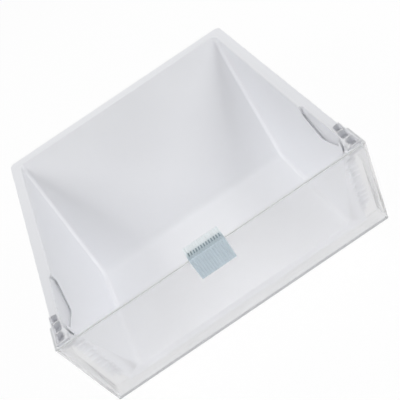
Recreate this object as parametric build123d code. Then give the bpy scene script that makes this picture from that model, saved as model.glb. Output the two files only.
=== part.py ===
from build123d import *
import math
import os

os.makedirs("parts", exist_ok=True)

# All sizes are millimetres. Working frame: X across, Y from the front face to the back, Z up.
# The last step moves the row so that its origin is the middle of the bottom of its box.

# Overall sizes
PANEL_W = 430.0
PANEL_H = 148.0
RIM_UP = 1.5
DEPTH = 408.0

# Tub walls: drafted sides, flat floor, long sloped back
WALL = 2.5
FLANGE_W = 19.0
BACK_FLANGE = 18.0
FLOOR_Z = 16.5
SIDE_RUN = 24.0
SLOPE_RUN = 186.0
SLOPE_BLEND = 34.0
CORNER_R = 7.0

# Rim flange with a turned-down skirt
FLANGE_T = 2.5
SKIRT_T = 2.2
SKIRT_H = 8.0
RIM_CORNER_R = 9.0
RIM_EDGE_R = 3.0
RIM_OUT_R = 1.0
RIM_STEP = 1.5

# Front frame of the tub, and the ladder of locating ribs beside it
FRAME_GAP = 15.0
FRAME_IN = 1.0
RIB_N = 10
RIB_T = 1.6
RIB_IN = 4.0
RIB_LONG = 11.0
RIB_PROUD = 2.0
RIB_DEEP = 15.0
RIB_Z = 34.0
RIB_PITCH = 9.3

# Scooped pocket in each side rim: a lip of two ramps, with a trough that rises behind it
SCOOP_Y = 61.0
SCOOP_DROP = 20.5
SCOOP_R = 24.0
SCOOP_NOSE_DROP = 7.5
SCOOP_HEEL_Y = 109.0
SCOOP_HEEL_DROP = 7.0
SCOOP_HEEL_R = 5.0
SCOOP_BACK = 4.0
SCOOP_PIT = 4.0
SCOOP_LOW_IN = 3.5
SCOOP_OUT = 2.4
SCOOP_MID_SHARE = 0.72
SCOOP_EDGE = 0.5
SCOOP_SKIN = 2.2
SCOOP_STOP = 6.0
SCOOP_LIP_SHARE = 0.5

# Cored ear at the front of each side rim
EAR_H = 28.0
EAR_NOSE_H = 11.0
EAR_WALL = 2.0
EAR_BAR = 3.2
EAR_FLOOR = 2.5
EAR_SKIN = 1.4
EAR_SIDE_GAP = 0.2
EAR_FRONT_GAP = 2.0
POCKET_L = 12.8
POCKET_DEEP = 8.0
SLOT_L = 10.5
POCKET_R = 3.5
SLOT_R = 1.5
SLIT_W = 2.2
SLIT_L = 17.0
SLIT_TURN = 15.0
SLIT_DEEP = 10.0

# Skids under the floor
SKID_X = 112.0
SKID_T = 4.0
SKID_FRONT = 16.0
SKID_BACK = 8.0
SKID_NOSE = 6.0

# Clear front panel
PANEL_T = 3.0
RETURN_PAST = 1.5
WING_STEP = 15.5
WING_H = 34.0
PANEL_CORNER_R = 2.0
PANEL_IN_R = 0.8
PANEL_EDGE_R = 1.5
PANEL_TOP_R = 0.8
CATCH_L = 6.4
CATCH_H = 6.4
CATCH_OUT = 1.6
CATCH_GAP = 0.3

# Ribbed grip on the panel's top edge
GRIP_W = 49.0
GRIP_X = -6.0
GRIP_H = 37.5
GRIP_BACK = 21.0
GRIP_HOOK = 14.0
GRIP_T = 1.2
GRIP_RIBS = 14
GRIP_RIB_W = 1.9
GRIP_RIB_H = 0.6
GRIP_NOSE = 0.8
GRIP_SLOT_L = 6.5
GRIP_SLOT_IN = 0.4
GRIP_SLOT_FLOOR = 0.4

# How far a cutter runs past what it cuts
OVER = 10.0

# Places that follow from the sizes
RIM_Z = PANEL_H + RIM_UP
RIM_X = PANEL_W / 2 - PANEL_T
RIM_IN_X = RIM_X - FLANGE_W
FLOOR_X = RIM_IN_X - SIDE_RUN
BACK_Y = DEPTH - BACK_FLANGE
SLOPE_Y = BACK_Y - SLOPE_RUN
FRAME_Y = PANEL_T + FRAME_GAP
FRAME_X = RIM_IN_X - FRAME_IN
WALL_OUT_X = RIM_IN_X + WALL
SCOOP_LOW_X = WALL_OUT_X - SCOOP_LOW_IN
SCOOP_X = WALL_OUT_X + SCOOP_OUT
SCOOP_MID_X = (SCOOP_LOW_X + SCOOP_X) / 2
SCOOP_END_Y = FRAME_Y + SCOOP_STOP
EAR_X = RIM_X - EAR_SIDE_GAP
EAR_Y = PANEL_T + EAR_FRONT_GAP
POCKET1_Y = EAR_Y + EAR_WALL
POCKET2_Y = POCKET1_Y + POCKET_L + EAR_BAR
SLOT_Y = POCKET2_Y + POCKET_L + EAR_BAR
EAR_END_Y = SLOT_Y + SLOT_L + EAR_WALL
WING_Y = EAR_END_Y - WING_STEP
RETURN_Y = FRAME_Y + WALL + RETURN_PAST
FRONT_Y = -(GRIP_T + GRIP_RIB_H)
MID_Y = (FRONT_Y + DEPTH) / 2
SIDE_TAN = SIDE_RUN / (RIM_Z - FLOOR_Z)
SIDE_OFF = WALL * math.hypot(1.0, SIDE_TAN)
BACK_TAN = SLOPE_RUN / (RIM_Z - FLOOR_Z)
BACK_OFF = WALL * math.hypot(1.0, BACK_TAN)


def block(x0, x1, y0, y1, z0, z1):
    centre = Pos((x0 + x1) / 2, (y0 + y1) / 2, (z0 + z1) / 2)
    return centre * Box(x1 - x0, y1 - y0, z1 - z0)


def both(shape):
    return shape + mirror(shape, about=Plane.YZ)


def scoop_face(x, share, below):
    """Outline over the right scoop at one place across: share scales its drop and below lowers it."""
    top = RIM_Z + OVER
    end_y = SCOOP_HEEL_Y + SCOOP_BACK + below
    nose = (SCOOP_END_Y, RIM_Z - share * SCOOP_NOSE_DROP - below)
    low = (SCOOP_Y, RIM_Z - share * SCOOP_DROP - below)
    heel = (SCOOP_HEEL_Y, RIM_Z - share * SCOOP_HEEL_DROP - below)
    line = Polyline((SCOOP_END_Y, top), nose, low, heel, (end_y, RIM_Z), (end_y, top), close=True)
    face = make_face(line)
    face = fillet(face.vertices().sort_by_distance((low[0], low[1], 0))[0], SCOOP_R)
    face = fillet(face.vertices().sort_by_distance((heel[0], heel[1], 0))[0], SCOOP_HEEL_R)
    return Pos(x, 0, 0) * (Plane.YZ * face)


def trough_form(x0, grow):
    """Trough of the right scoop from a place across to its outer edge, grown by a skin."""
    steps = (
        scoop_face(x0, 1.0, SCOOP_PIT + grow),
        scoop_face(SCOOP_LOW_X + grow / 2, 1.0, SCOOP_PIT + grow),
        scoop_face(SCOOP_MID_X + grow, SCOOP_MID_SHARE, SCOOP_PIT + grow),
        scoop_face(SCOOP_X + grow, 0.0, SCOOP_EDGE + grow),
    )
    form = loft([steps[0], steps[1]], ruled=True)
    form += loft([steps[1], steps[2]], ruled=True)
    return form + loft([steps[2], steps[3]], ruled=True)


def tub_form(out, y0, top):
    """Tub form grown outwards by a wall share: 0 is the hollow and 1 the outside."""
    low = FLOOR_Z - out * WALL
    xl = FLOOR_X + out * (SIDE_OFF - WALL * SIDE_TAN)
    xt = FLOOR_X + out * SIDE_OFF + (top - FLOOR_Z) * SIDE_TAN
    yl = SLOPE_Y + out * (BACK_OFF - WALL * BACK_TAN)
    yt = SLOPE_Y + out * BACK_OFF + (top - FLOOR_Z) * BACK_TAN
    across = Polyline((-xl, low), (xl, low), (xt, top), (-xt, top), close=True)
    body = Pos(0, y0, 0) * extrude(Plane.XZ * make_face(across), amount=y0 - yt - OVER)
    side = make_face(Polyline((y0, low), (yl, low), (yt, top), (y0, top), close=True))
    knee = side.vertices().sort_by_distance((yl, low, 0))[0]
    side = fillet(knee, SLOPE_BLEND + out * WALL)
    body = body & extrude(Plane.YZ * side, amount=PANEL_W, both=True)
    seams = []
    for edge in body.edges():
        mid = edge @ 0.5
        wall_x = xl + (mid.Z - low) * SIDE_TAN
        on_side = abs(abs(mid.X) - wall_x) < 0.05
        if on_side and mid.Z < top - 0.01 and mid.Y > y0 + 0.01:
            seams.append(edge)
    return fillet(seams, CORNER_R + out * WALL)


# Tub shell and rim
cavity = tub_form(0.0, -OVER, RIM_Z + OVER)
shell = tub_form(1.0, FRAME_Y, RIM_Z)
rim_x = RIM_X - RIM_STEP
rim = block(-rim_x, rim_x, EAR_END_Y, DEPTH, RIM_Z - SKIRT_H, RIM_Z)
rim = fillet(rim.edges().filter_by(Axis.Z).group_by(Axis.Y)[-1], RIM_CORNER_R)
crest = [e for e in rim.edges().group_by(Axis.Z)[-1] if (e @ 0.5).Y > EAR_END_Y + 0.01]
rim = fillet(crest, RIM_OUT_R)
skirt_x = rim_x - SKIRT_T
under = block(
    -skirt_x, skirt_x, EAR_END_Y - OVER, DEPTH - SKIRT_T, RIM_Z - SKIRT_H - OVER, RIM_Z - FLANGE_T
)
under = fillet(under.edges().filter_by(Axis.Z).group_by(Axis.Y)[-1], RIM_CORNER_R - SKIRT_T)
frame = block(-FRAME_X, FRAME_X, FRAME_Y, FRAME_Y + WALL, PANEL_T, RIM_Z)
tub = shell + (rim - under) + frame - cavity
brim = []
for edge in tub.edges().group_by(Axis.Z)[-1]:
    mid = edge @ 0.5
    if abs(mid.X) < RIM_IN_X + 0.5 and EAR_END_Y < mid.Y < BACK_Y + 0.5:
        brim.append(edge)
tub = fillet(brim, RIM_EDGE_R)

# Ears, the skin behind each scoop, and the ladder of locating ribs with its back plate
ear_z = RIM_Z - EAR_H
nose_z = RIM_Z - EAR_NOSE_H
nose = block(FRAME_X - OVER, EAR_X, EAR_Y, SCOOP_END_Y, nose_z, RIM_Z)
nose_edge = nose.edges().filter_by(Axis.Z).sort_by_distance((EAR_X, EAR_Y, nose_z))[0]
ear = fillet(nose_edge, PANEL_IN_R)
ear += block(FRAME_X - OVER, EAR_X, FRAME_Y, SCOOP_END_Y, ear_z, nose_z)
ear += block(SCOOP_X, EAR_X, SCOOP_END_Y, EAR_END_Y, ear_z, RIM_Z)
skin = trough_form(FRAME_X - OVER, SCOOP_SKIN)
ear += skin & block(0, PANEL_W, SCOOP_END_Y, DEPTH, 0, RIM_Z)
rib_x = FRAME_X + RIB_LONG
plate_y = FRAME_Y + RIB_DEEP
ear += block(FLOOR_X, rib_x, plate_y, plate_y + RIB_T, PANEL_T, ear_z + EAR_FLOOR)
ear -= cavity
for i in range(RIB_N):
    z = RIB_Z + i * RIB_PITCH
    ear += block(FRAME_X - RIB_IN, rib_x, FRAME_Y - RIB_PROUD, plate_y + RIB_T / 2, z, z + RIB_T)

# Skids
skid_z = FLOOR_Z - WALL / 2
skid = block(
    SKID_X - SKID_T / 2, SKID_X + SKID_T / 2, FRAME_Y + SKID_FRONT, SLOPE_Y - SKID_BACK, 0, skid_z
)
skid = chamfer(skid.edges().filter_by(Axis.X).group_by(Axis.Z)[0], min(SKID_NOSE, skid_z / 2))
tub = tub + both(ear) + both(skid)

# Scoop cut: the wall's lip drops in two ramps, and the trough behind it starts a little lower
lip = loft([scoop_face(FRAME_X - 2 * OVER, 1.0, 0.0), scoop_face(SCOOP_X, 1.0, 0.0)], ruled=True)
lip_wall = tub_form(SCOOP_LIP_SHARE, FRAME_Y, RIM_Z)
cut = (lip & shell) + (trough_form(SCOOP_LOW_X - 1.0, 0.0) - lip_wall)

# Pockets of the ears, cored from below too, with a window for the panel's catch
pocket_x0 = SCOOP_X + EAR_SKIN
pocket_x1 = EAR_X - EAR_WALL
pocket_z = RIM_Z - POCKET_DEEP
core_z = pocket_z - EAR_FLOOR
top = RIM_Z + OVER
oval = block(pocket_x0, pocket_x1, POCKET1_Y, POCKET1_Y + POCKET_L, pocket_z, top)
cut += fillet(oval.edges().filter_by(Axis.Z), POCKET_R)
square = block(pocket_x0, pocket_x1, POCKET2_Y, POCKET2_Y + POCKET_L, pocket_z, top)
cut += fillet(square.edges().filter_by(Axis.Z), SLOT_R)
slot = block(pocket_x0 + EAR_WALL, pocket_x1, SLOT_Y, SLOT_Y + SLOT_L, pocket_z, top)
cut += fillet(slot.edges().filter_by(Axis.Z), SLOT_R)
cut += block(pocket_x0 + EAR_WALL, pocket_x1, POCKET2_Y, POCKET2_Y + POCKET_L, ear_z - 1.0, core_z)
cut += block(pocket_x0 + EAR_WALL, pocket_x1, SLOT_Y, SLOT_Y + SLOT_L, ear_z - 1.0, core_z)
slit = block(-SLIT_W / 2, SLIT_W / 2, -SLIT_L / 2, SLIT_L / 2, RIM_Z - SLIT_DEEP, top)
cut += Pos(RIM_IN_X + WALL / 2, FRAME_Y + WALL, 0) * Rot(0, 0, -SLIT_TURN) * slit
catch_y = POCKET2_Y + POCKET_L / 2
catch_z = RIM_Z - EAR_H / 2
gap_l = CATCH_L / 2 + CATCH_GAP
gap_h = CATCH_H / 2 + CATCH_GAP
cut += block(
    pocket_x1 - EAR_WALL, EAR_X + EAR_WALL, catch_y - gap_l, catch_y + gap_l, catch_z - gap_h, catch_z + gap_h
)
tub = tub - both(cut)

# Front panel: a shallow clear tray with a wing at each upper corner
half_w = PANEL_W / 2
panel = block(-half_w, half_w, 0, WING_Y, 0, PANEL_H)
panel = fillet(panel.edges().filter_by(Axis.Z).group_by(Axis.Y)[0], PANEL_CORNER_R)
sill = [e for e in panel.edges().group_by(Axis.Z)[0] if (e @ 0.5).Y < WING_Y - 0.01]
panel = fillet(sill, PANEL_EDGE_R)
inside = block(-RIM_X, RIM_X, PANEL_T, WING_Y + OVER, PANEL_T, PANEL_H + OVER)
inside = fillet(inside.edges().filter_by(Axis.Z).group_by(Axis.Y)[0], PANEL_IN_R)
panel = panel - inside
crest = [e for e in panel.edges().group_by(Axis.Z)[-1] if (e @ 0.5).Y < WING_Y - 0.01]
panel = fillet(crest, PANEL_TOP_R)
wing_z = PANEL_H - WING_H
away = Polyline(
    (RETURN_Y, -OVER), (RETURN_Y, wing_z - (WING_Y - RETURN_Y)), (WING_Y, wing_z),
    (WING_Y + OVER, wing_z), (WING_Y + OVER, -OVER), close=True,
)
panel = panel - extrude(Plane.YZ * make_face(away), amount=PANEL_W, both=True)
catch = Polyline(
    (RIM_X + PANEL_T / 2, catch_y - CATCH_L / 2),
    (RIM_X, catch_y - CATCH_L / 2),
    (RIM_X - CATCH_OUT, catch_y + CATCH_L / 4),
    (RIM_X - CATCH_OUT, catch_y + CATCH_L / 2),
    (RIM_X + PANEL_T / 2, catch_y + CATCH_L / 2),
    close=True,
)
catch = Pos(0, 0, catch_z - CATCH_H / 2) * extrude(make_face(catch), amount=CATCH_H)
panel = panel + both(catch)

# Grip: a ribbed clip that hooks over the panel's top edge
grip_x = GRIP_X - GRIP_W / 2
grip_top = PANEL_H + GRIP_T
grip_low = PANEL_H - GRIP_H
hook_low = PANEL_H - GRIP_HOOK
hook_y = PANEL_T + GRIP_T
base = Polyline(
    (-GRIP_T, grip_low), (0, grip_low), (0, PANEL_H), (PANEL_T, PANEL_H), (PANEL_T, hook_low),
    (hook_y, hook_low), (hook_y, PANEL_H), (GRIP_BACK, PANEL_H), (GRIP_BACK, grip_top),
    (-GRIP_T, grip_top), close=True,
)
grip = Pos(grip_x, 0, 0) * extrude(Plane.YZ * make_face(base), amount=GRIP_W)
rib_top = grip_top + GRIP_RIB_H
rib = Polyline(
    (FRONT_Y, grip_low), (-GRIP_T / 2, grip_low), (-GRIP_T / 2, PANEL_H + GRIP_T / 2),
    (GRIP_BACK, PANEL_H + GRIP_T / 2), (GRIP_BACK, rib_top), (FRONT_Y + GRIP_NOSE, rib_top),
    (FRONT_Y, rib_top - GRIP_NOSE), close=True,
)
rib = extrude(Plane.YZ * make_face(rib), amount=GRIP_RIB_W)
pitch = GRIP_W / GRIP_RIBS
gap = pitch - GRIP_RIB_W
slot_y = hook_y + GRIP_SLOT_IN
for i in range(GRIP_RIBS):
    grip += Pos(grip_x + i * pitch + gap / 2, 0, 0) * rib
for i in range(1, GRIP_RIBS):
    x = grip_x + i * pitch
    slot_z = PANEL_H + GRIP_SLOT_FLOOR
    grip -= block(x - gap / 2, x + gap / 2, slot_y, slot_y + GRIP_SLOT_L, slot_z, rib_top + OVER)

# Place the row on its origin and write one file per piece
for node, shape in (("tub", tub), ("front_panel", panel), ("grip", grip)):
    shape = Pos(0, -MID_Y, 0) * shape
    export_step(shape.solids()[0], "parts/" + node + ".step")
    print(node, len(shape.solids()), shape.is_valid, shape.bounding_box())
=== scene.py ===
import math

import bmesh
import bpy
from mathutils import Matrix, Vector


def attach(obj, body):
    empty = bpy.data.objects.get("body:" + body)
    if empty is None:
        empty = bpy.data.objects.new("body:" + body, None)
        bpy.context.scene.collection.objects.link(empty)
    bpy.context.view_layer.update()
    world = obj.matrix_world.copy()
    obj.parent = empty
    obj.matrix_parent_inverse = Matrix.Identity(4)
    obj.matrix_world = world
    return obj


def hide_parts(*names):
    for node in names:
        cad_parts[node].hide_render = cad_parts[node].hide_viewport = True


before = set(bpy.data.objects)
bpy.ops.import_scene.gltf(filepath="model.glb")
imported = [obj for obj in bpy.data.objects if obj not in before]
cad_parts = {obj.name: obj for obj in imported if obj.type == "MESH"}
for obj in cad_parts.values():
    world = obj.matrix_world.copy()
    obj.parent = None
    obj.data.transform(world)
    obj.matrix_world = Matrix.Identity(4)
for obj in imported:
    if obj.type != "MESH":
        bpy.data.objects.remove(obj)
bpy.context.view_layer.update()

MM = 0.001
scene = bpy.context.scene

# Sizes of the ribbed grip, in millimetres, as in the part's source
GRIP_W = 49.0
GRIP_X = -6.0
GRIP_H = 37.5
GRIP_BACK = 21.0
GRIP_HOOK = 14.0
GRIP_T = 1.2
GRIP_RIBS = 14
GRIP_RIB_W = 1.9
GRIP_RIB_H = 0.6
GRIP_NOSE = 0.8
GRIP_SLOT_L = 6.5
GRIP_SLOT_IN = 0.4
GRIP_SLOT_FLOOR = 0.4
# Only in this scene: the clip's broken front corner, and the steps of a rib's half-round section
GRIP_CHAMFER = 0.3
BEAD_STEPS = 8
# The middle of the rib's nose lies this share of its size in from the corner
NOSE_INSET = 0.3

# Sizes of the clear panel, in millimetres, as in the part's source
PANEL_T = 3.0
PANEL_H = 148.0
PANEL_EDGE_R = 1.5
PANEL_TOP_R = 0.8
# The painted shade along the panel's bottom edge fades out between these heights
FOOT_LOW = 4.0
FOOT_HIGH = 6.0
# Faces this far behind the panel's sheet belong to its sides and its return
SHEET_CLEAR = 0.3
# A face whose normal is at least this upright counts as level
LEVEL_NORMAL = 0.995

# The part's source starts at the panel's front face, and the part's origin lies this far behind it
MID_Y = 203.1

# Mesh points closer than this are merged, and edges sharper than these angles stay crisp
MERGE_WITHIN = 0.0005
MOULDED_SHARP = math.radians(32)
RIB_SHARP = math.radians(50)

POLYSTYRENE_IOR = 1.59
POLYPROPYLENE_IOR = 1.49

# Places of further finishes in a piece's list, after its first
# The blind slots' floors get a darker blue: painted shade
SLOT_PAINTED_SHADE = 1
SIDES_FINISH = 1
# The panel's moulded edges get a soft grey: painted shade in place of clear plastic
EDGE_PAINTED_GREY = 2

# Colour sockets of a Mix node: two that go in and one that comes out
MIX_A = 6
MIX_B = 7
MIX_RESULT = 2


def linear(code):
    """An sRGB hex colour as the linear colour that a shader takes."""
    steps = [int(code[i : i + 2], 16) / 255 for i in (1, 3, 5)]
    return [s / 12.92 if s <= 0.04045 else ((s + 0.055) / 1.055) ** 2.4 for s in steps] + [1.0]


def add(tree, kind, inputs=None, **settings):
    """Adds one node: settings are its own, inputs are values or the sockets to link."""
    made = tree.nodes.new(kind)
    for name, value in settings.items():
        setattr(made, name, value)
    for name, value in (inputs or {}).items():
        if isinstance(value, bpy.types.NodeSocket):
            tree.links.new(value, made.inputs[name])
        else:
            made.inputs[name].default_value = value
    return made


def blank_material(name):
    """A material with an empty node tree and its output."""
    material = bpy.data.materials.new(name)
    material.use_nodes = True
    material.node_tree.nodes.clear()
    return material, material.node_tree, add(material.node_tree, "ShaderNodeOutputMaterial")


def white_polystyrene():
    """High-impact polystyrene, moulded in a fine spark-eroded tool: milky white with a cool cast,
    an even satin shine, a barely seen grain, and slow clouds where the melt ran."""
    material, tree, out = blank_material("white_high_impact_polystyrene")
    place = add(tree, "ShaderNodeTexCoord").outputs["Object"]
    # Clouds about 120 mm across in the colour
    cloud = add(tree, "ShaderNodeTexNoise", {"Vector": place, "Scale": 1 / (120 * MM), "Detail": 2.0})
    tint = add(tree, "ShaderNodeMix", {"Factor": cloud.outputs["Fac"]}, data_type="RGBA")
    tint.inputs[MIX_A].default_value = linear("#EBECF0")
    tint.inputs[MIX_B].default_value = linear("#F0F1F4")
    # Satin patches about 25 mm across in the shine
    patch = add(tree, "ShaderNodeTexNoise", {"Vector": place, "Scale": 1 / (25 * MM), "Detail": 3.0})
    shine = add(
        tree, "ShaderNodeMapRange", {"Value": patch.outputs["Fac"], "To Min": 0.34, "To Max": 0.46}
    )
    # Spark grain is about 0.1 mm on the tool; it is drawn at 0.9 mm so that it shows
    grain = add(tree, "ShaderNodeTexNoise", {"Vector": place, "Scale": 1 / (0.9 * MM), "Detail": 2.0})
    edge = add(tree, "ShaderNodeBevel", {"Radius": 0.5 * MM}, samples=4)
    bump = add(
        tree,
        "ShaderNodeBump",
        {
            "Height": grain.outputs["Fac"],
            "Strength": 0.12,
            "Distance": 0.05 * MM,
            "Normal": edge.outputs["Normal"],
        },
    )
    shader = add(
        tree,
        "ShaderNodeBsdfPrincipled",
        {
            "Base Color": tint.outputs[MIX_RESULT],
            "Roughness": shine.outputs["Result"],
            "Normal": bump.outputs["Normal"],
            "IOR": POLYSTYRENE_IOR,
        },
    )
    tree.links.new(shader.outputs["BSDF"], out.inputs["Surface"])
    return material


def lamps_through(tree, shader, colour):
    """Mixes a clear plastic with an open way for lamp light, so that it casts only a pale shadow."""
    open_way = add(tree, "ShaderNodeBsdfTransparent", {"Color": colour})
    path = add(tree, "ShaderNodeLightPath")
    mix = add(tree, "ShaderNodeMixShader", {0: path.outputs["Is Shadow Ray"]})
    tree.links.new(shader.outputs["BSDF"], mix.inputs[1])
    tree.links.new(open_way.outputs["BSDF"], mix.inputs[2])
    return mix.outputs["Shader"]


def clear_polystyrene(name, colour, foot, clearness):
    """General-purpose polystyrene, moulded against a polished tool: clear with a faint cool tint and
    a thin milky veil, a glassy shine hazed by handling, slow waves that bend what is behind, and
    a painted shade along its foot, for the line that light piped down the sheet leaves there."""
    material, tree, out = blank_material(name)
    place = add(tree, "ShaderNodeTexCoord").outputs["Object"]
    # Waves about 60 mm long from the flow of the melt
    wave = add(tree, "ShaderNodeTexNoise", {"Vector": place, "Scale": 1 / (60 * MM), "Detail": 1.0})
    bump = add(
        tree,
        "ShaderNodeBump",
        {"Height": wave.outputs["Fac"], "Strength": 0.15, "Distance": 1.0 * MM},
    )
    # Handling haze in patches about 35 mm across
    haze = add(tree, "ShaderNodeTexNoise", {"Vector": place, "Scale": 1 / (35 * MM), "Detail": 4.0})
    shine = add(
        tree, "ShaderNodeMapRange", {"Value": haze.outputs["Fac"], "To Min": 0.05, "To Max": 0.16}
    )
    # Painted shade: the foot colour paints the line that light piped down the sheet leaves along the
    # bottom edge
    height = add(tree, "ShaderNodeSeparateXYZ", {"Vector": place})
    rise = add(
        tree,
        "ShaderNodeMapRange",
        {"Value": height.outputs["Z"], "From Min": FOOT_LOW * MM, "From Max": FOOT_HIGH * MM},
        interpolation_type="SMOOTHSTEP",
    )
    tint = add(tree, "ShaderNodeMix", {"Factor": rise.outputs["Result"]}, data_type="RGBA")
    tint.inputs[MIX_A].default_value = linear(foot)
    tint.inputs[MIX_B].default_value = linear(colour)
    shader = add(
        tree,
        "ShaderNodeBsdfPrincipled",
        {
            "Base Color": tint.outputs[MIX_RESULT],
            "Roughness": shine.outputs["Result"],
            "Normal": bump.outputs["Normal"],
            "IOR": POLYSTYRENE_IOR,
            "Transmission Weight": clearness,
        },
    )
    surface = lamps_through(tree, shader, linear(colour))
    tree.links.new(surface, out.inputs["Surface"])
    return material


def painted_grey_edge_polystyrene():
    """The clear plastic's narrow moulded edges: a soft grey painted as shade, standing in for the
    light piped along the sheet, with a satin face and small flecks from the parting line."""
    material, tree, out = blank_material("clear_polystyrene_painted_grey_edge")
    place = add(tree, "ShaderNodeTexCoord").outputs["Object"]
    # Flecks about 6 mm long
    fleck = add(tree, "ShaderNodeTexNoise", {"Vector": place, "Scale": 1 / (6 * MM), "Detail": 2.0})
    tint = add(tree, "ShaderNodeMix", {"Factor": fleck.outputs["Fac"]}, data_type="RGBA")
    tint.inputs[MIX_A].default_value = linear("#DCDEE0")
    tint.inputs[MIX_B].default_value = linear("#E6E8E9")
    shine = add(
        tree, "ShaderNodeMapRange", {"Value": fleck.outputs["Fac"], "To Min": 0.25, "To Max": 0.4}
    )
    shader = add(
        tree,
        "ShaderNodeBsdfPrincipled",
        {
            "Base Color": tint.outputs[MIX_RESULT],
            "Roughness": shine.outputs["Result"],
            "IOR": POLYSTYRENE_IOR,
            "Transmission Weight": 0.05,
        },
    )
    surface = lamps_through(tree, shader, linear("#E6E8E9"))
    tree.links.new(surface, out.inputs["Surface"])
    return material


def blue_polypropylene(name, front, comb_painted_shade, behind):
    """Pale blue polypropylene, moulded: a soft waxy shine, a slight change of tone from rib to rib,
    painted shade along the comb, and at the back a milky paleness painted as light through the thin
    plastic."""
    material, tree, out = blank_material(name)
    place = add(tree, "ShaderNodeTexCoord").outputs["Object"]
    axes = add(tree, "ShaderNodeSeparateXYZ", {"Vector": place})
    # Tone along the grip, from just before its front face over the comb to its back end: painted
    # shade along the comb, painted light at the back
    start = -2.0
    along = add(
        tree,
        "ShaderNodeMapRange",
        {
            "Value": axes.outputs["Y"],
            "From Min": (start - MID_Y) * MM,
            "From Max": (GRIP_BACK - MID_Y) * MM,
        },
    )
    ramp = add(tree, "ShaderNodeValToRGB", {"Fac": along.outputs["Result"]})
    stops = ((-1.3, front), (0.0, comb_painted_shade), (5.0, comb_painted_shade), (13.0, behind))
    while len(ramp.color_ramp.elements) < len(stops):
        ramp.color_ramp.elements.new(1.0)
    for stop, (y, colour) in zip(ramp.color_ramp.elements, stops):
        stop.position = (y - start) / (GRIP_BACK - start)
        stop.color = linear(colour)
    # Tone changes slowly over about 8 mm
    tone = add(tree, "ShaderNodeTexNoise", {"Vector": place, "Scale": 1 / (8 * MM), "Detail": 2.0})
    share = add(
        tree, "ShaderNodeMapRange", {"Value": tone.outputs["Fac"], "To Min": 0.0, "To Max": 0.2}
    )
    tint = add(tree, "ShaderNodeMix", {"Factor": share.outputs["Result"]}, data_type="RGBA")
    tree.links.new(ramp.outputs["Color"], tint.inputs[MIX_A])
    tint.inputs[MIX_B].default_value = linear(behind)
    # Tool grain is about 0.1 mm; it is drawn at 0.5 mm so that it shows
    grain = add(tree, "ShaderNodeTexNoise", {"Vector": place, "Scale": 1 / (0.5 * MM), "Detail": 2.0})
    bump = add(
        tree,
        "ShaderNodeBump",
        {"Height": grain.outputs["Fac"], "Strength": 0.15, "Distance": 0.04 * MM},
    )
    shine = add(
        tree, "ShaderNodeMapRange", {"Value": grain.outputs["Fac"], "To Min": 0.38, "To Max": 0.5}
    )
    shader = add(
        tree,
        "ShaderNodeBsdfPrincipled",
        {
            "Base Color": tint.outputs[MIX_RESULT],
            "Roughness": shine.outputs["Result"],
            "Normal": bump.outputs["Normal"],
            "IOR": POLYPROPYLENE_IOR,
        },
    )
    tree.links.new(shader.outputs["BSDF"], out.inputs["Surface"])
    return material


def plain_mesh(piece):
    """Turns a piece and its modifiers into one plain mesh."""
    bpy.context.view_layer.update()
    graph = bpy.context.evaluated_depsgraph_get()
    whole = bpy.data.meshes.new_from_object(piece.evaluated_get(graph))
    piece.modifiers.clear()
    piece.data = whole
    whole.name = piece.name


def new_piece(name, mesh, material):
    """Links a mesh to the scene as a piece at the origin, with one material."""
    if mesh.materials:
        mesh.materials.clear()
    mesh.materials.append(material)
    piece = bpy.data.objects.new(name, mesh)
    scene.collection.objects.link(piece)
    return piece


def moulded_copy(node, name, material):
    """A merged copy of a CAD node with even shading on its flats and round edges."""
    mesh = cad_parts[node].data.copy()
    shape = bmesh.new()
    shape.from_mesh(mesh)
    bmesh.ops.remove_doubles(shape, verts=shape.verts, dist=MERGE_WITHIN * MM)
    shape.to_mesh(mesh)
    shape.free()
    piece = new_piece(name, mesh, material)
    mesh.shade_smooth()
    mesh.set_sharp_from_angle(angle=MOULDED_SHARP)
    even = piece.modifiers.new("even_shading", "WEIGHTED_NORMAL")
    even.mode = "FACE_AREA"
    even.weight = 100
    even.keep_sharp = True
    plain_mesh(piece)
    return piece


def carry(piece, slot, *nodes):
    """Rides a piece on the drawer, with the CAD nodes that it stands for hidden; its finish is not
    used.
    """
    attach(piece, "root")
    if nodes:
        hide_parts(*nodes)


def finish_panel(mesh):
    """Gives the panel's sides and its return the second finish, and its moulded edges the third,
    their painted grey shade.
    """
    behind = (PANEL_T + SHEET_CLEAR - MID_Y) * MM
    for face in mesh.polygons:
        place = face.center
        on_top = place.z > (PANEL_H - PANEL_TOP_R) * MM
        on_sill = place.z < PANEL_EDGE_R * MM and abs(face.normal.z) < LEVEL_NORMAL
        if on_top or on_sill:
            face.material_index = EDGE_PAINTED_GREY
        elif place.y > behind:
            face.material_index = SIDES_FINISH


def at(x, y, z):
    """A place given in the source's millimetres, in metres from the part's origin."""
    return (x * MM, (y - MID_Y) * MM, z * MM)


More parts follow.
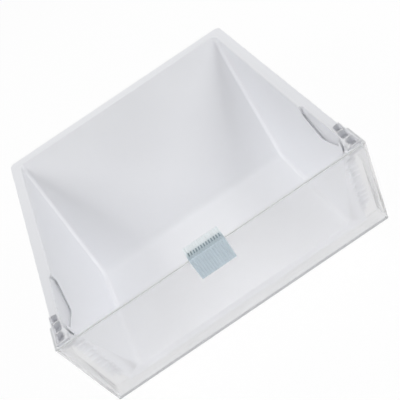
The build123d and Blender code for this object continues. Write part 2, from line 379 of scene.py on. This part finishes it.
def clip_mesh():
    """The grip's clip: one hooked section carried across, with a row of blind slots in its top."""
    left = GRIP_X - GRIP_W / 2
    pitch = GRIP_W / GRIP_RIBS
    gap = pitch - GRIP_RIB_W
    top = PANEL_H + GRIP_T
    low = PANEL_H - GRIP_H
    hook = PANEL_H - GRIP_HOOK
    slot_y = PANEL_T + GRIP_T + GRIP_SLOT_IN
    section = [
        (-GRIP_T, low), (0.0, low), (0.0, PANEL_H), (PANEL_T, PANEL_H), (PANEL_T, hook),
        (PANEL_T + GRIP_T, hook), (PANEL_T + GRIP_T, PANEL_H), (GRIP_BACK, PANEL_H), (GRIP_BACK, top),
        (slot_y + GRIP_SLOT_L, top), (slot_y, top), (-GRIP_T + GRIP_CHAMFER, top),
        (-GRIP_T, top - GRIP_CHAMFER),
    ]
    breaks = [left]
    for i in range(1, GRIP_RIBS):
        breaks += [left + i * pitch - gap / 2, left + i * pitch + gap / 2]
    breaks.append(left + GRIP_W)
    shape = bmesh.new()
    rows = [[shape.verts.new(at(x, y, z)) for y, z in section] for x in breaks]
    slots = []
    for i in range(len(breaks) - 1):
        for j in range(len(section)):
            k = (j + 1) % len(section)
            face = shape.faces.new((rows[i][j], rows[i][k], rows[i + 1][k], rows[i + 1][j]))
            if i % 2 and section[j] == (slot_y + GRIP_SLOT_L, top):
                slots.append(face)
    shape.faces.new(rows[0])
    shape.faces.new(rows[-1])
    drop = Vector((0.0, 0.0, (GRIP_SLOT_FLOOR - GRIP_T) * MM))
    # The slot floors take the darker blue, painted shade in the blind slots
    for face in bmesh.ops.extrude_discrete_faces(shape, faces=slots)["faces"]:
        face.material_index = SLOT_PAINTED_SHADE
        for vert in face.verts:
            vert.co += drop
    bmesh.ops.recalc_face_normals(shape, faces=shape.faces)
    mesh = bpy.data.meshes.new("grip_clip")
    shape.to_mesh(mesh)
    shape.free()
    return mesh


def rib_mesh():
    """The first rib of the grip: a rounded bead up the front, over the nose and along the top."""
    pitch = GRIP_W / GRIP_RIBS
    middle = GRIP_X - GRIP_W / 2 + pitch / 2
    top = PANEL_H + GRIP_T
    low = PANEL_H - GRIP_H
    turn = math.sqrt(0.5)
    inset = NOSE_INSET * GRIP_NOSE
    path = [
        ((-GRIP_T, low), (-1.0, 0.0)),
        ((-GRIP_T, top - GRIP_NOSE), (-1.0, 0.0)),
        ((-GRIP_T + inset, top - inset), (-turn, turn)),
        ((-GRIP_T + GRIP_NOSE, top), (0.0, 1.0)),
        ((GRIP_BACK, top), (0.0, 1.0)),
    ]
    half = GRIP_RIB_W / 2
    # The bead's foot reaches halfway into the clip
    foot = -0.5 * GRIP_T
    bead = [(-half, foot)]
    for i in range(BEAD_STEPS + 1):
        lean = math.pi * i / BEAD_STEPS
        bead.append((-half * math.cos(lean), GRIP_RIB_H * math.sin(lean)))
    bead.append((half, foot))
    shape = bmesh.new()
    rows = []
    for (y, z), (out_y, out_z) in path:
        row = [at(middle + x, y + rise * out_y, z + rise * out_z) for x, rise in bead]
        rows.append([shape.verts.new(place) for place in row])
    for i in range(len(path) - 1):
        for j in range(len(bead)):
            k = (j + 1) % len(bead)
            shape.faces.new((rows[i][j], rows[i][k], rows[i + 1][k], rows[i + 1][j]))
    shape.faces.new(rows[0])
    shape.faces.new(rows[-1])
    bmesh.ops.recalc_face_normals(shape, faces=shape.faces)
    mesh = bpy.data.meshes.new("grip_ribs")
    shape.to_mesh(mesh)
    shape.free()
    return mesh


def row_tree(name):
    """Geometry nodes that repeat a piece in a row across, with its count, pitch and material."""
    tree = bpy.data.node_groups.new(name, "GeometryNodeTree")
    for label, kind in (
        ("Piece", "NodeSocketGeometry"),
        ("Count", "NodeSocketInt"),
        ("Pitch", "NodeSocketFloat"),
        ("Material", "NodeSocketMaterial"),
    ):
        tree.interface.new_socket(label, in_out="INPUT", socket_type=kind)
    tree.interface.new_socket("Row", in_out="OUTPUT", socket_type="NodeSocketGeometry")
    given = add(tree, "NodeGroupInput").outputs
    step = add(tree, "ShaderNodeCombineXYZ", {"X": given["Pitch"]})
    line = add(
        tree, "GeometryNodeMeshLine", {"Count": given["Count"], "Offset": step.outputs["Vector"]}
    )
    spread = add(
        tree,
        "GeometryNodeInstanceOnPoints",
        {"Points": line.outputs["Mesh"], "Instance": given["Piece"]},
    )
    whole = add(tree, "GeometryNodeRealizeInstances", {"Geometry": spread.outputs["Instances"]})
    dressed = add(
        tree,
        "GeometryNodeSetMaterial",
        {"Geometry": whole.outputs["Geometry"], "Material": given["Material"]},
    )
    add(tree, "NodeGroupOutput", {"Row": dressed.outputs["Geometry"]})
    return tree


def repeat_across(piece, count, pitch, material):
    """Repeats a piece in a row with Geometry Nodes and leaves one plain mesh."""
    tree = row_tree(piece.name + "_row")
    row = piece.modifiers.new("row", "NODES")
    row.node_group = tree
    values = {"Count": count, "Pitch": pitch, "Material": material}
    for socket in tree.interface.items_tree:
        if socket.in_out == "INPUT" and socket.name in values:
            row[socket.identifier] = values[socket.name]
    plain_mesh(piece)


white = white_polystyrene()
# The third colour of each clear finish is painted shade along the panel's bottom edge
clear = clear_polystyrene("clear_polystyrene", "#F7F7F8", "#A6A9AB", 0.8)
clear_sides = clear_polystyrene("clear_polystyrene_sides", "#FDFDFD", "#F6F6F7", 0.92)
# The panel's edges: a soft grey painted as shade in place of clear plastic
painted_grey_edge = painted_grey_edge_polystyrene()
# Front, comb and back colours: painted shade along the comb, painted light at the back
blue = blue_polypropylene("pale_blue_polypropylene", "#DEEDF8", "#B3C3CC", "#F2F8FB")
# A darker blue for the slot floors: painted shade in the blind slots
slot_painted_shade = blue_polypropylene("slot_painted_shade_polypropylene", "#8598A3", "#8598A3", "#9AACB5")

tub = moulded_copy("tub", "tub_moulding", white)
carry(tub, "white_plastic", "tub")
panel = moulded_copy("front_panel", "clear_front", clear)
panel.data.materials.append(clear_sides)
panel.data.materials.append(painted_grey_edge)
finish_panel(panel.data)
carry(panel, "clear_plastic", "front_panel")
clip = new_piece("grip_clip", clip_mesh(), blue)
clip.data.materials.append(slot_painted_shade)
carry(clip, "blue_plastic", "grip")
ribs = new_piece("grip_ribs", rib_mesh(), blue)
repeat_across(ribs, GRIP_RIBS, GRIP_W / GRIP_RIBS * MM, blue)
ribs.data.shade_smooth()
ribs.data.set_sharp_from_angle(angle=RIB_SHARP)
carry(ribs, "blue_plastic")


# Camera as in the photograph: turned, raised and rolled
CAMERA_AT = (0.01274, -0.64292, 0.62036)
CAMERA_TURN = math.radians(0.77)
CAMERA_RISE = math.radians(42.48)
CAMERA_ROLL = math.radians(33.48)
CAMERA_LENS = 50.487
ahead = Vector(
    (
        math.sin(CAMERA_TURN) * math.cos(CAMERA_RISE),
        math.cos(CAMERA_TURN) * math.cos(CAMERA_RISE),
        -math.sin(CAMERA_RISE),
    )
)
level = Vector((math.cos(CAMERA_TURN), -math.sin(CAMERA_TURN), 0.0))
above = level.cross(ahead)
image_right = math.cos(CAMERA_ROLL) * level - math.sin(CAMERA_ROLL) * above
image_up = math.cos(CAMERA_ROLL) * above + math.sin(CAMERA_ROLL) * level
lens = bpy.data.cameras.new("camera")
lens.sensor_width = 36.0
lens.lens = CAMERA_LENS
lens.clip_start = 0.01
camera = bpy.data.objects.new("camera", lens)
turn = Matrix((image_right, image_up, -ahead)).transposed().to_4x4()
camera.matrix_world = Matrix.Translation(CAMERA_AT) @ turn
scene.collection.objects.link(camera)
scene.camera = camera


# Every lamp looks at this point in the drawer, in metres
LAMP_AIM = Vector((0.0, 0.0, 0.08))


def soft_lamp(name, place, size, power):
    """A square soft box at a place, turned to the drawer, in metres and watts."""
    light = bpy.data.lights.new(name, "AREA")
    light.size = size
    light.energy = power
    lamp = bpy.data.objects.new(name, light)
    lamp.location = place
    lamp.rotation_euler = (LAMP_AIM - Vector(place)).to_track_quat("-Z", "Y").to_euler()
    scene.collection.objects.link(lamp)


# Soft boxes at both sides, one high behind, and a low one in front
soft_lamp("left_box", (-1.4, 0.0, 1.1), size=0.8, power=11.6)
soft_lamp("right_box", (1.4, 0.0, 1.1), size=0.8, power=12.2)
soft_lamp("back_box", (0.0, 1.1, 1.55), size=0.8, power=7.7)
soft_lamp("front_box", (0.0, -1.6, 0.21), size=0.4, power=3.7)


def seen_share(tree, through):
    """1 for what the eye sees straight, a given share for what it sees mirrored or through the clear
    plastic, and 0 for lighting."""
    path = add(tree, "ShaderNodeLightPath").outputs
    bent = add(
        tree,
        "ShaderNodeMath",
        {0: path["Is Glossy Ray"], 1: path["Is Transmission Ray"]},
        operation="MAXIMUM",
    )
    part = add(tree, "ShaderNodeMath", {0: bent.outputs[0], 1: through}, operation="MULTIPLY")
    seen = add(
        tree, "ShaderNodeMath", {0: path["Is Camera Ray"], 1: part.outputs[0]}, operation="MAXIMUM"
    )
    return seen.outputs[0]


# Even sky: it lights the drawer at a plain level and looks white
SKY = 0.18
WHITE = linear("#FFFFFF")
world = bpy.data.worlds.new("studio")
scene.world = world
world.use_nodes = True
sky = world.node_tree
sky.nodes.clear()
dim = add(sky, "ShaderNodeBackground", {"Color": WHITE, "Strength": SKY})
bright = add(sky, "ShaderNodeBackground", {"Color": WHITE, "Strength": 1.0})
sky_seen = seen_share(sky, 1.0)
blend = add(sky, "ShaderNodeMixShader", {0: sky_seen, 1: dim.outputs[0], 2: bright.outputs[0]})
add(sky, "ShaderNodeOutputWorld", {"Surface": blend.outputs[0]})

# Pale floor, in metres: white to the eye with the drawer's soft shadow left in it, and less white
# where it is mirrored or seen through the clear plastic
FLOOR_HALF = 6.0
FLOOR_GLOW = 0.955
FLOOR_THROUGH = 0.6
floor_mesh = bpy.data.meshes.new("floor")
corners = [(x * FLOOR_HALF, y * FLOOR_HALF, 0.0) for x, y in ((-1, -1), (1, -1), (1, 1), (-1, 1))]
floor_mesh.from_pydata(corners, [], [(0, 1, 2, 3)])
pale, tree, out = blank_material("pale_floor")
floor_seen = seen_share(tree, FLOOR_THROUGH)
share = add(tree, "ShaderNodeMath", {0: floor_seen, 1: FLOOR_GLOW}, operation="MULTIPLY")
matt = add(tree, "ShaderNodeBsdfDiffuse", {"Color": linear("#F8F8F8")})
glow = add(tree, "ShaderNodeEmission", {"Color": WHITE, "Strength": 1.0})
mix = add(tree, "ShaderNodeMixShader", {0: share.outputs[0], 1: matt.outputs[0], 2: glow.outputs[0]})
tree.links.new(mix.outputs[0], out.inputs["Surface"])
floor = new_piece("floor", floor_mesh, pale)

scene.view_settings.view_transform = "Standard"
